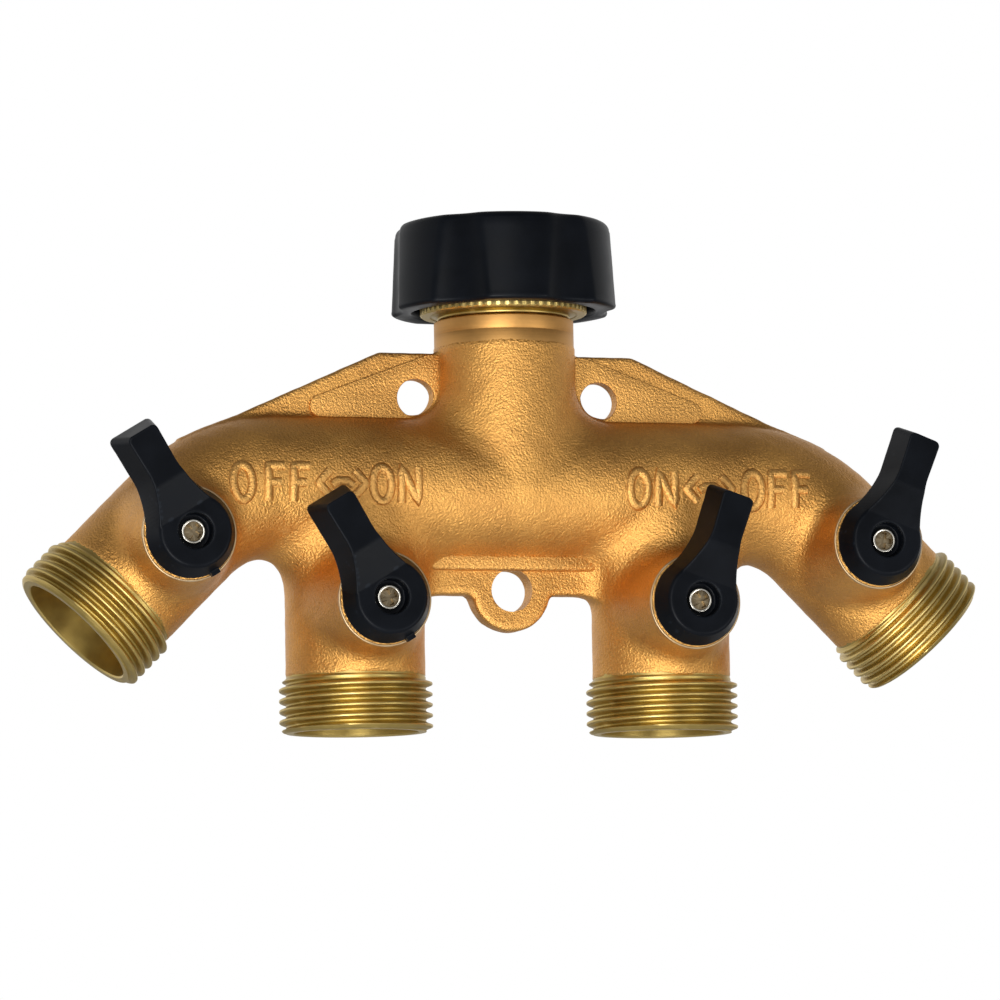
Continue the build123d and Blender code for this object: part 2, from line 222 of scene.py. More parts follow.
def turned(name: str, profile: Points, steps: int) -> bpy.types.Object:
    """Turn a profile about Z, as on a lathe.

    Args:
        name: The piece's name.
        profile: Points (radius, height) in mm; it ends on the axis or where it began.
        steps: How many steps the spin takes.

    Returns:
        The closed mesh object. Its point attribute turning_mm holds the height.
    """
    bpy.ops.object.select_all(action="DESELECT")
    bpy.ops.mesh.primitive_plane_add(size=MM)
    obj = bpy.context.object
    obj.name = obj.data.name = name

    def draw_and_spin() -> None:
        """Extrude the profile point by point, then spin it."""
        bpy.ops.mesh.select_mode(type="VERT")
        bpy.ops.mesh.merge(type="CENTER")
        radius, height = profile[0]
        bpy.ops.transform.translate(value=(radius * MM, 0, height * MM))
        for (r0, z0), (r1, z1) in zip(profile, profile[1:]):
            bpy.ops.mesh.extrude_vertices_move(
                TRANSFORM_OT_translate={"value": ((r1 - r0) * MM, 0, (z1 - z0) * MM)})
        bpy.ops.mesh.select_all(action="SELECT")
        bpy.ops.mesh.spin(steps=steps, angle=2 * math.pi, center=(0, 0, 0), axis=(0, 0, 1))
        bpy.ops.mesh.select_all(action="SELECT")
        weld()

    edit(draw_and_spin)
    mark_turning(obj)
    return obj


def mark_turning(obj: bpy.types.Object) -> None:
    """Store each vertex's height in mm, which the tool marks follow.

    Args:
        obj: The turned piece, before it is placed.
    """
    heights = np.array([v.co.z / MM for v in obj.data.vertices], dtype=np.float32)
    attribute = obj.data.attributes.new("turning_mm", "FLOAT", "POINT")
    attribute.data.foreach_set("value", heights)


def plate(name: str, outlines: Iterable[Points], back: float, front: float, edge: float) -> bpy.types.Object:
    """A flat plate facing -Y with softened edges.

    Args:
        name: The piece's name.
        outlines: Closed outlines (x, z) in mm; the inner ones are holes.
        back: The y of its back face.
        front: The y of its front face.
        edge: Radius of its edges.

    Returns:
        The plate's mesh object.
    """
    curve = bpy.data.curves.new(name, "CURVE")
    curve.dimensions = "2D"
    curve.fill_mode = "BOTH"
    curve.extrude = (back - front) / 2 * MM - edge * MM
    curve.bevel_depth = edge * MM
    curve.bevel_resolution = 3
    curve.offset = -edge * MM
    for outline in outlines:
        spline = curve.splines.new("POLY")
        spline.points.add(len(outline) - 1)
        for point, (x, z) in zip(spline.points, outline):
            point.co = (x * MM, z * MM, 0, 1)
        spline.use_cyclic_u = True
    obj = mesh_of(name, curve)
    place(obj, basis(Vector((0, (back + front) / 2, 0)), Vector((1, 0, 0)), Vector((0, -1, 0))))
    smooth(obj)
    return obj


def soft_min(a: np.ndarray, b: np.ndarray, blend: float | np.ndarray) -> np.ndarray:
    """The smaller of two distances, rounded where they cross over a width of blend."""
    share = np.maximum(blend - np.abs(a - b), 0) / blend
    return np.minimum(a, b) - share * share * blend / 4


def soft_max(a: np.ndarray, b: np.ndarray, blend: float) -> np.ndarray:
    """The larger of two distances, rounded where they cross over a width of blend."""
    return -soft_min(-a, -b, blend)


def ease(value: np.ndarray) -> np.ndarray:
    """Smooth step of a value from 0 to 1."""
    t = np.clip(value, 0, 1)
    return t * t * (3 - 2 * t)


def ripple(angle: np.ndarray, seed: float) -> np.ndarray:
    """Uneven wave round a circle, between about -1 and 1."""
    return (np.sin(3 * angle + seed) + 0.7 * np.sin(7 * angle + 2.3 * seed)
            + 0.5 * np.sin(13 * angle + 4.1 * seed)) / 2.2


# ---------------------------------------------------------------- what the frame says

@dataclass(frozen=True)
class Valve:
    """One valve's name, its stem and branch, and how its lever stands at rest."""

    name: str
    side: int
    stem: Vector
    flow: Vector
    lean: float

    @property
    def body(self) -> str:
        """The body that its lever rides on."""
        return f"{self.name}_valve"

    def branch_frame(self) -> Matrix:
        """Local frame with Z along the branch, from the stem's axis to the mouth."""
        return basis(self.stem, Vector((0, -1, 0)), self.flow)

    def face_frame(self) -> Matrix:
        """Local frame with Z along the stem towards the lever and Y up."""
        return basis(self.stem, Vector((1, 0, 0)), Vector((0, -1, 0)))

    def lever_frame(self) -> Matrix:
        """Local frame with Z along the stem and Y along the handle at rest.

        Returns:
            The 4x4 matrix in metres.
        """
        lean = math.radians(self.lean)
        handle = Vector((self.side * math.sin(lean), 0, math.cos(lean)))
        out = Vector((0, -1, 0))
        return basis(self.stem, handle.cross(out), out)


CLOSED_LEAN = 31.0


def read_valves() -> list[Valve]:
    """The four valves, read from the record's joints and mounts.

    Returns:
        The valves in the order of their joints.
    """
    record = frame["record"]
    mounts = {m["name"]: m for m in record["mounts"]}
    valves = []
    for joint in record["behaviour"]["joints"]:
        if not joint["name"].endswith("_turn"):
            continue
        name = joint["name"].removesuffix("_turn")
        stem = Vector(joint["pos_m"]) / MM
        flow = Vector(mounts[f"{name}_outlet_thread"]["axis"]).normalized()
        lean = CLOSED_LEAN + joint["range_deg"][0]
        valves.append(Valve(name, -1 if stem.x < 0 else 1, stem, flow, lean))
    return valves


# ---------------------------------------------------------------- finishes

class Shading(Enum):
    """Which shared effect gives a finish its fine surface."""

    BLASTED = "blasted_grain"
    TURNED = "tool_marks"
    MOULDED = "moulded_grain"


def new_group(name: str, inputs: dict[str, float], outputs: Sequence[str]) -> bpy.types.ShaderNodeTree:
    """An empty shader group with float inputs and outputs.

    Args:
        name: The group's name.
        inputs: Names and default values of its inputs.
        outputs: Names of its outputs.

    Returns:
        The node tree, with its input and output nodes in place.
    """
    group = bpy.data.node_groups.new(name, "ShaderNodeTree")
    for label, value in inputs.items():
        group.interface.new_socket(label, in_out="INPUT", socket_type="NodeSocketFloat").default_value = value
    for label in outputs:
        group.interface.new_socket(label, in_out="OUTPUT", socket_type="NodeSocketFloat")
    group.nodes.new("NodeGroupInput").name = "in"
    group.nodes.new("NodeGroupOutput").name = "out"
    return group


class Wiring:
    """Small helper that adds nodes to a tree and links them."""

    def __init__(self, tree: bpy.types.NodeTree) -> None:
        """Keep the tree that nodes are added to."""
        self.tree = tree

    def add(self, kind: str, links: dict[object, object] | None = None, **settings: object) -> bpy.types.Node:
        """Add a node.

        Args:
            kind: The node's type, without ShaderNode.
            links: Socket name or number to a value or to another node's output.
            settings: Properties of the node.

        Returns:
            The new node.
        """
        node = self.tree.nodes.new(f"ShaderNode{kind}")
        for key, value in settings.items():
            setattr(node, key, value)
        for key, value in (links or {}).items():
            if isinstance(value, bpy.types.NodeSocket):
                self.tree.links.new(value, node.inputs[key])
            else:
                node.inputs[key].default_value = value
        return node

    def math(self, operation: str, *values: object) -> bpy.types.NodeSocket:
        """Output of a Math node on these values."""
        return self.add("Math", dict(enumerate(values)), operation=operation).outputs[0]

    def span(self, value: object, low: float, high: float, out_low: float, out_high: float) -> object:
        """Output of a Map Range node from low..high to out_low..out_high."""
        links = {0: value, 1: low, 2: high, 3: out_low, 4: out_high}
        return self.add("MapRange", links).outputs[0]


def blasted_grain() -> bpy.types.ShaderNodeTree:
    """Shared effect: the lumpy, pitted skin of a blasted casting.

    Returns:
        The group.
    """
    group = new_group("blasted_grain", {"Grain mm": 0.9, "Lumps": 1.0}, ("Height", "Tone", "Edge"))
    wire = Wiring(group)
    given, out = group.nodes["in"], group.nodes["out"]
    place_at = wire.add("TexCoord").outputs["Object"]
    scale = wire.math("DIVIDE", 1 / MM, given.outputs["Grain mm"])
    lumps = wire.add("TexNoise", {"Vector": place_at, "Scale": scale, "Detail": 3.0, "Roughness": 0.62})
    pits = wire.add("TexVoronoi", {"Vector": place_at, "Scale": wire.math("MULTIPLY", scale, 1.1)})
    cloud = wire.add("TexNoise", {"Vector": place_at, "Scale": 95.0, "Detail": 4.0})
    bumps = wire.math("MULTIPLY", lumps.outputs[0], given.outputs["Lumps"])
    pit_depth = wire.math("MULTIPLY", pits.outputs["Distance"], 0.35)
    group.links.new(wire.math("ADD", bumps, pit_depth), out.inputs["Height"])
    fine_tone = wire.span(lumps.outputs[0], 0.3, 0.7, -0.28, 0.28)
    broad_tone = wire.span(cloud.outputs[0], 0.3, 0.7, 0.2, 0.8)
    group.links.new(wire.math("ADD", broad_tone, fine_tone), out.inputs["Tone"])
    # Edge: 0 in creases, about a half on flat faces, 1 on convex edges; it lightens edges as wear and leaves
    # creases darker as painted shade.
    pointed = wire.add("NewGeometry").outputs["Pointiness"]
    group.links.new(wire.span(pointed, 0.44, 0.56, 0.0, 1.0), out.inputs["Edge"])
    return group


def tool_marks() -> bpy.types.ShaderNodeTree:
    """Shared effect: fine rings that a lathe tool leaves, with a little staining.

    Returns:
        The group.
    """
    group = new_group("tool_marks", {"Rings per mm": 9.0}, ("Height", "Tone", "Edge"))
    wire = Wiring(group)
    given, out = group.nodes["in"], group.nodes["out"]
    along = wire.add("Attribute", attribute_name="turning_mm").outputs["Fac"]
    place_at = wire.add("TexCoord").outputs["Object"]
    rings = wire.add("TexNoise", {"W": wire.math("MULTIPLY", along, given.outputs["Rings per mm"]),
                                  "Scale": 1.0, "Detail": 2.0}, noise_dimensions="1D")
    stain = wire.add("TexNoise", {"Vector": place_at, "Scale": 420.0, "Detail": 5.0, "Roughness": 0.6})
    speck = wire.add("TexNoise", {"Vector": place_at, "Scale": 2600.0, "Detail": 2.0})
    group.links.new(wire.math("ADD", rings.outputs[0], wire.math("MULTIPLY", speck.outputs[0], 0.5)),
                    out.inputs["Height"])
    tone = wire.math("ADD", wire.span(stain.outputs[0], 0.3, 0.7, 0.15, 0.85),
                     wire.span(rings.outputs[0], 0.3, 0.7, -0.2, 0.2))
    group.links.new(tone, out.inputs["Tone"])
    # Edge: 0 in creases, about a half on flat faces, 1 on convex edges; it lightens edges as wear and leaves
    # creases darker as painted shade.
    pointed = wire.add("NewGeometry").outputs["Pointiness"]
    group.links.new(wire.span(pointed, 0.42, 0.6, 0.0, 1.0), out.inputs["Edge"])
    return group


def moulded_grain() -> bpy.types.ShaderNodeTree:
    """Shared effect: the fine spark-eroded grain of moulded plastic, with faint rubbing on convex edges and
    painted shade in creases.

    Returns:
        The group.
    """
    group = new_group("moulded_grain", {"Grain mm": 0.25}, ("Height", "Tone", "Edge"))
    wire = Wiring(group)
    given, out = group.nodes["in"], group.nodes["out"]
    place_at = wire.add("TexCoord").outputs["Object"]
    scale = wire.math("DIVIDE", 1 / MM, given.outputs["Grain mm"])
    grain = wire.add("TexNoise", {"Vector": place_at, "Scale": scale, "Detail": 2.0})
    cloud = wire.add("TexNoise", {"Vector": place_at, "Scale": 160.0, "Detail": 3.0})
    group.links.new(grain.outputs[0], out.inputs["Height"])
    group.links.new(wire.span(cloud.outputs[0], 0.3, 0.7, 0.0, 1.0), out.inputs["Tone"])
    # Edge: 0 in creases, about a half on flat faces, 1 on convex edges; it lightens edges as rubbing and
    # leaves creases darker as painted shade.
    pointed = wire.add("NewGeometry").outputs["Pointiness"]
    group.links.new(wire.span(pointed, 0.5, 0.62, 0.0, 1.0), out.inputs["Edge"])
    return group


GROUPS: dict[Shading, Callable[[], bpy.types.ShaderNodeTree]] = {
    Shading.BLASTED: blasted_grain,
    Shading.TURNED: tool_marks,
    Shading.MOULDED: moulded_grain,
}


@dataclass(frozen=True)
class Finish:
    """One finish: its colours, gloss and fine surface."""

    name: str
    shading: Shading
    fine: float
    dark: tuple[float, float, float]
    light: tuple[float, float, float]
    edge: tuple[float, float, float]
    edge_share: float
    roughness: tuple[float, float]
    metallic: float
    relief_mm: float
    relief: float
    specular: float = 0.5

    def build(self, groups: dict[Shading, bpy.types.ShaderNodeTree]) -> bpy.types.Material:
        """Make the material.

        Args:
            groups: The shared effects.

        Returns:
            The finished material.
        """
        material = bpy.data.materials.new(self.name)
        material.use_nodes = True
        wire = Wiring(material.node_tree)
        shader = material.node_tree.nodes["Principled BSDF"]
        effect = wire.add("Group", node_tree=groups[self.shading])
        effect.inputs[0].default_value = self.fine
        tone, edge = effect.outputs["Tone"], effect.outputs["Edge"]
        body = wire.add("Mix", {0: tone, 6: (*self.dark, 1), 7: (*self.light, 1)}, data_type="RGBA")
        # Edge colour mixed in by pointiness: lighter on convex edges, as wear; flat faces get half of it and
        # creases none, so creases come out darker, which is painted shade.
        worn_and_shaded = wire.add("Mix", {0: wire.math("MULTIPLY", edge, self.edge_share), 6: body.outputs[2],
                                7: (*self.edge, 1)}, data_type="RGBA")
        link = material.node_tree.links.new
        link(worn_and_shaded.outputs[2], shader.inputs["Base Color"])
        link(wire.span(tone, 0.0, 1.0, *self.roughness), shader.inputs["Roughness"])
        bump = wire.add("Bump", {"Strength": self.relief, "Distance": self.relief_mm * MM,
                                 "Height": effect.outputs["Height"]})
        link(bump.outputs[0], shader.inputs["Normal"])
        shader.inputs["Metallic"].default_value = self.metallic
        shader.inputs["Specular IOR Level"].default_value = self.specular
        return material


# The edge colour of each finish is mixed in by pointiness: lighter on convex edges for wear, with creases
# left darker as painted shade.
FINISHES = (
    Finish("cast_brass", Shading.BLASTED, 0.42, (0.44, 0.19, 0.040), (0.72, 0.37, 0.088),
           (0.95, 0.60, 0.22), 0.3, (0.40, 0.52), 1.0, 0.17, 1.0),
    Finish("turned_brass", Shading.TURNED, 9.0, (0.29, 0.19, 0.030), (0.43, 0.30, 0.060),
           (0.95, 0.76, 0.36), 0.4, (0.34, 0.46), 1.0, 0.02, 0.6),
    Finish("turned_neck", Shading.TURNED, 3.0, (0.40, 0.19, 0.045), (0.50, 0.25, 0.065),
           (0.80, 0.50, 0.20), 0.3, (0.46, 0.54), 1.0, 0.02, 0.5),
    Finish("ground_rim", Shading.TURNED, 9.0, (0.30, 0.16, 0.055), (0.46, 0.30, 0.14),
           (0.80, 0.66, 0.45), 0.4, (0.38, 0.52), 1.0, 0.02, 0.5),
    Finish("black_plastic", Shading.MOULDED, 0.22, (0.0016, 0.0022, 0.0034), (0.0030, 0.0040, 0.0062),
           (0.010, 0.013, 0.018), 0.6, (0.34, 0.42), 0.0, 0.015, 0.5, 0.09),
    Finish("nickel_screw", Shading.TURNED, 12.0, (0.45, 0.41, 0.33), (0.74, 0.70, 0.60),
           (1.0, 0.97, 0.9), 0.6, (0.16, 0.32), 1.0, 0.02, 0.5),
    # Painted shade: dark brown nickel for the screw head's middle and cross recess, where the same nickel
    # lies in shade.
    Finish("screw_recess_painted_shade", Shading.TURNED, 12.0, (0.09, 0.065, 0.035), (0.30, 0.22, 0.12),
           (0.60, 0.50, 0.34), 0.4, (0.30, 0.45), 1.0, 0.02, 0.5),
    Finish("spring_steel", Shading.TURNED, 12.0, (0.42, 0.42, 0.43), (0.60, 0.60, 0.61),
           (0.85, 0.85, 0.85), 0.4, (0.20, 0.34), 1.0, 0.02, 0.4),
    Finish("plated_ball", Shading.TURNED, 6.0, (0.72, 0.72, 0.73), (0.82, 0.82, 0.83),
           (0.95, 0.95, 0.95), 0.3, (0.05, 0.12), 1.0, 0.004, 0.3),
    Finish("black_rubber", Shading.MOULDED, 0.6, (0.012, 0.012, 0.013), (0.024, 0.024, 0.025),
           (0.05, 0.05, 0.05), 0.4, (0.55, 0.72), 0.0, 0.03, 0.4),
    Finish("seat_plastic", Shading.MOULDED, 0.8, (0.74, 0.73, 0.70), (0.86, 0.86, 0.84),
           (0.92, 0.92, 0.90), 0.4, (0.38, 0.50), 0.0, 0.02, 0.3),
)


def dress(obj: bpy.types.Object, material: bpy.types.Material) -> None:
    """Give an object one material."""
    obj.data.materials.clear()
    obj.data.materials.append(material)


# ---------------------------------------------------------------- the casting

@dataclass(frozen=True)
class Casting:
    """The cast manifold: header, branches, neck, bosses, webs and lug, with cast fillets."""

    header_z: float = -46.3
    tube_r: float = 11.9
    skin: float = 0.08
    bend_r: float = 24.0
    branch_turn: float = 45.0
    neck_r: float = 12.25
    neck_band_r: float = 11.95
    band_edge_z: float = -21.3
    shoulder_z: float = -17.0
    boss_foot_r: float = 10.9
    boss_foot_h: float = 5.0
    boss_face_r: float = 8.1
    boss_face_h: float = 18.7
    web_top_z: float = -22.8
    web_shoulder_x: float = 23.0
    web_toe: tuple[float, float] = (58.0, -38.4)
    web_half_t: float = 1.25
    lug_z: float = -63.9
    lug_r: float = 7.1
    lug_half_t: float = 2.2
    bridge_bottom_z: float = -64.7
    seam_s: float = 11.7
    sleeve_depth: float = 0.6
    toe_run: float = 11.9
    branch_fillet: float = 7.0
    neck_fillet: float = 7.0
    boss_fillet: float = 3.4
    web_fillet: float = 1.2
    lug_fillet: float = 3.0
    longest_step: float = 0.45
    skin_reach: float = 0.75
    fillet_reach: float = 0.3
    unevenness: float = 0.035
    no_fillet: float = 0.02
    web_edge: float = 0.7
    lug_edge: float = 1.0
    sleeve_end_s: float = 12.5
    sleeve_near_r: float = 16.0
    sleeve_bore_r: float = 12.0
    end_squeeze: float = 0.1
    voxel: float = 0.5
    passes: int = 7

    def run(self, x: np.ndarray, z: np.ndarray, valve: Valve) -> np.ndarray:
        """Signed distance above the header's centre line, bends included.

        Args:
            x: Distance from the middle plane.
            z: Height.
            valve: An outer valve, whose branch ends the line.

        Returns:
            The distance in the plane Y = 0, positive above the line.
        """
        turn = math.radians(self.branch_turn)
        bend_x = abs(valve.stem.x) - (self.header_z - valve.stem.z)
        start_x = bend_x - self.bend_r * math.tan(turn / 2)
        centre_z = self.header_z - self.bend_r
        end = (start_x + self.bend_r * math.sin(turn), centre_z + self.bend_r * math.cos(turn))
        straight = z - self.header_z
        bent = np.hypot(x - start_x, z - centre_z) - self.bend_r
        sloped = (x - end[0]) * math.sin(turn) + (z - end[1]) * math.cos(turn)
        round_bend = np.arctan2(x - start_x, z - centre_z)
        beyond = np.where(round_bend <= turn, bent, sloped)
        return np.where(x <= start_x, straight, beyond)

    def step_down(self, s: np.ndarray, angle: np.ndarray, seed: float) -> np.ndarray:
        """How far the cast skin drops under the threaded sleeve, along a wavy seam."""
        seam = self.seam_s + 0.22 * ripple(angle, seed)
        return self.sleeve_depth * ease((s - seam) / 0.35)

    def shape(self, p: np.ndarray, valves: Sequence[Valve], fillets: bool) -> np.ndarray:
        """Distance from the outside of the casting.

        Args:
            p: Points in mm.
            valves: The four valves.
            fillets: Whether the bodies run into each other with cast fillets.

        Returns:
            The distance of each point, negative inside.
        """
        def fillet(width: float, alike: np.ndarray | float = 0.0) -> np.ndarray | float:
            """Width of a cast fillet, which fades where the two skins face the same way."""
            return width * (np.clip(1.0 - alike, self.no_fillet, 1.0) if fillets else self.no_fillet)

        x, y, z = np.abs(p[:, 0]), p[:, 1], p[:, 2]
        outer = next(v for v in valves if v.name == "outer_right")
        inner = next(v for v in valves if v.name == "inner_right")
        turn = math.radians(self.branch_turn)
        above = self.run(x, z, outer)
        s_outer = (x - outer.stem.x) * math.sin(turn) - (z - outer.stem.z) * math.cos(turn)
        drop = self.step_down(s_outer, np.arctan2(y, above), 1.7 + np.sign(p[:, 0]))
        run_r = np.maximum(np.hypot(above, y), 1.0)
        header = run_r - (self.tube_r + self.skin - drop)
        across = x - inner.stem.x
        drop = self.step_down(inner.stem.z - z, np.arctan2(y, across), 4.4 + np.sign(p[:, 0]))
        top = 1.5 * np.maximum(z - self.header_z, 0)
        branch_r = np.maximum(np.sqrt(across ** 2 + y ** 2 + top ** 2), 1.0)
        branch = branch_r - (self.tube_r + self.skin - drop)
        round_neck = np.arctan2(y, p[:, 0])
        cast = ease((self.band_edge_z + 0.3 * ripple(round_neck, 0.6) - z) / 0.45)
        neck_r = self.neck_band_r + (self.neck_r - self.neck_band_r) * cast
        low = 1.5 * np.maximum(self.header_z - z, 0)
        centre_r = np.maximum(np.sqrt(p[:, 0] ** 2 + y ** 2 + low ** 2), 1.0)
        neck = np.maximum(centre_r - neck_r, z - self.shoulder_z)
        body = soft_min(header, branch, fillet(self.branch_fillet, y ** 2 / (run_r * branch_r)))
        body = soft_min(body, neck, fillet(self.neck_fillet, y ** 2 / (run_r * centre_r)))
        slope = (self.boss_foot_r - self.boss_face_r) / (self.boss_face_h - self.boss_foot_h)
        for valve in valves:
            radius = np.hypot(p[:, 0] - valve.stem.x, z - valve.stem.z)
            cone = radius - (self.boss_foot_r - slope * (-y - self.boss_foot_h))
            boss = np.maximum(np.maximum(cone / math.hypot(1, slope), -y - self.boss_face_h), y)
            tube, beside = (branch_r, across) if valve.flow.x == 0 else (run_r, above)
            alike = beside ** 2 / (tube * np.maximum(radius, 1.0))
            body = soft_min(body, boss, fillet(self.boss_fillet, alike))
        fall = (self.web_toe[0] - self.web_shoulder_x, self.web_top_z - self.web_toe[1])
        length = math.hypot(*fall)
        diagonal = ((x - self.web_shoulder_x) * fall[1] + (z - self.web_top_z) * fall[0]) / length
        toe_x, toe_z = self.web_toe
        toe_rise = toe_z - self.header_z
        toe = ((x - toe_x) * toe_rise - (z - toe_z) * self.toe_run) / math.hypot(self.toe_run, toe_rise)
        web = np.maximum(np.maximum(z - self.web_top_z, diagonal), np.maximum(self.header_z - z, toe))
        web = soft_max(web, np.abs(y) - self.web_half_t, self.web_edge)
        body = soft_min(body, web, fillet(self.web_fillet))
        bridge = np.maximum(np.maximum(x - inner.stem.x, z - self.header_z), self.bridge_bottom_z - z)
        lug = soft_min(bridge, np.hypot(x, z - self.lug_z) - self.lug_r, fillet(self.web_fillet))
        lug = soft_max(lug, np.abs(y) - self.lug_half_t, self.lug_edge)
        return soft_min(body, lug, fillet(self.lug_fillet))

    def front(self, x: np.ndarray, z: np.ndarray, valves: Sequence[Valve]) -> np.ndarray:
        """The y of the casting's front surface at these places.

        Args:
            x: Distances from the middle plane.
            z: Heights.
            valves: The four valves.

        Returns:
            The y of each place.
        """
        y = np.full(len(x), -2 * self.tube_r)
        for _ in range(40):
            y = y + 0.8 * self.shape(np.column_stack([x, y, z]), valves, fillets=True)
        return y

    def open_mouths(self, p: np.ndarray, valves: Sequence[Valve]) -> np.ndarray:
        """Shorten and thin each threaded end, which the turned sleeve covers.

        Args:
            p: Points in mm.
            valves: The four valves.

        Returns:
            The moved points.
        """
        for valve in valves:
            local = p - np.array(valve.stem)
            flow = np.array(valve.flow)
            s = local @ flow
            off = local - s[:, None] * flow
            radius = np.linalg.norm(off, axis=1)
            near = (s > self.seam_s) & (radius < self.sleeve_near_r)
            thinner = (self.tube_r - 0.5) / np.maximum(radius, 1e-6)
            thin = np.where(near & (radius > self.sleeve_bore_r), thinner, 1.0)
            shorter = self.sleeve_end_s + (s - self.sleeve_end_s) * self.end_squeeze
            short = np.where(near & (s > self.sleeve_end_s), shorter, s)
            moved = np.array(valve.stem) + short[:, None] * flow + off * thin[:, None]
            p = np.where(near[:, None], moved, p)
        return p

    def settle(self, p: np.ndarray, valves: Sequence[Valve]) -> np.ndarray:
        """Carry the outer skin on to the filleted shape, with a little foundry unevenness.

        Args:
            p: Points in mm.
            valves: The four valves.

        Returns:
            The moved points.
        """
        hard = self.shape(p, valves, fillets=False)
        skin = np.abs(hard) < self.skin_reach
        skin |= np.abs(self.shape(p, valves, fillets=True)) < self.fillet_reach
        q = p[skin]
        wave = (np.sin(0.9 * q[:, 0] + 1.3 * np.sin(0.5 * q[:, 2])) * np.sin(0.8 * q[:, 2] + 0.7 * q[:, 1])
                + 0.5 * np.sin(1.9 * q[:, 0] + 1.1 * q[:, 1]) * np.sin(2.1 * q[:, 2]))
        level = self.unevenness * wave
        step = 0.05
        for _ in range(self.passes):
            here = self.shape(q, valves, fillets=True)
            slopes = [self.shape(q + step * axis, valves, fillets=True) - here for axis in np.eye(3)]
            normal = np.stack(slopes, axis=1) / step
            steep = np.maximum((normal ** 2).sum(axis=1), 0.25)
            move = np.clip((here - level) / steep, -self.longest_step, self.longest_step)
            q = q - normal * move[:, None]
        p = p.copy()
        p[skin] = q
        return p

    def build(self, valves: Sequence[Valve]) -> bpy.types.Object:
        """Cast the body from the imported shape: remesh it, then run its fillets in.

        Args:
            valves: The four valves.

        Returns:
            The casting.
        """
        body = copy_of(frame["nodes"]["manifold_body"], "casting")
        body.parent = None
        body.hide_render = False
        for key in [k for k in body.keys() if k.startswith("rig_")]:
            del body[key]
        pick(body)
        bpy.ops.mesh.customdata_custom_splitnormals_clear()
        edit(weld)
        reshape(body, lambda p: self.open_mouths(p, valves))
        for _ in range(2):
            body.data.remesh_voxel_size = self.voxel * MM
            pick(body)
            bpy.ops.object.voxel_remesh()
            reshape(body, lambda p: self.settle(p, valves))
        smooth(body, 60.0)
        return body


# ---------------------------------------------------------------- details on the casting

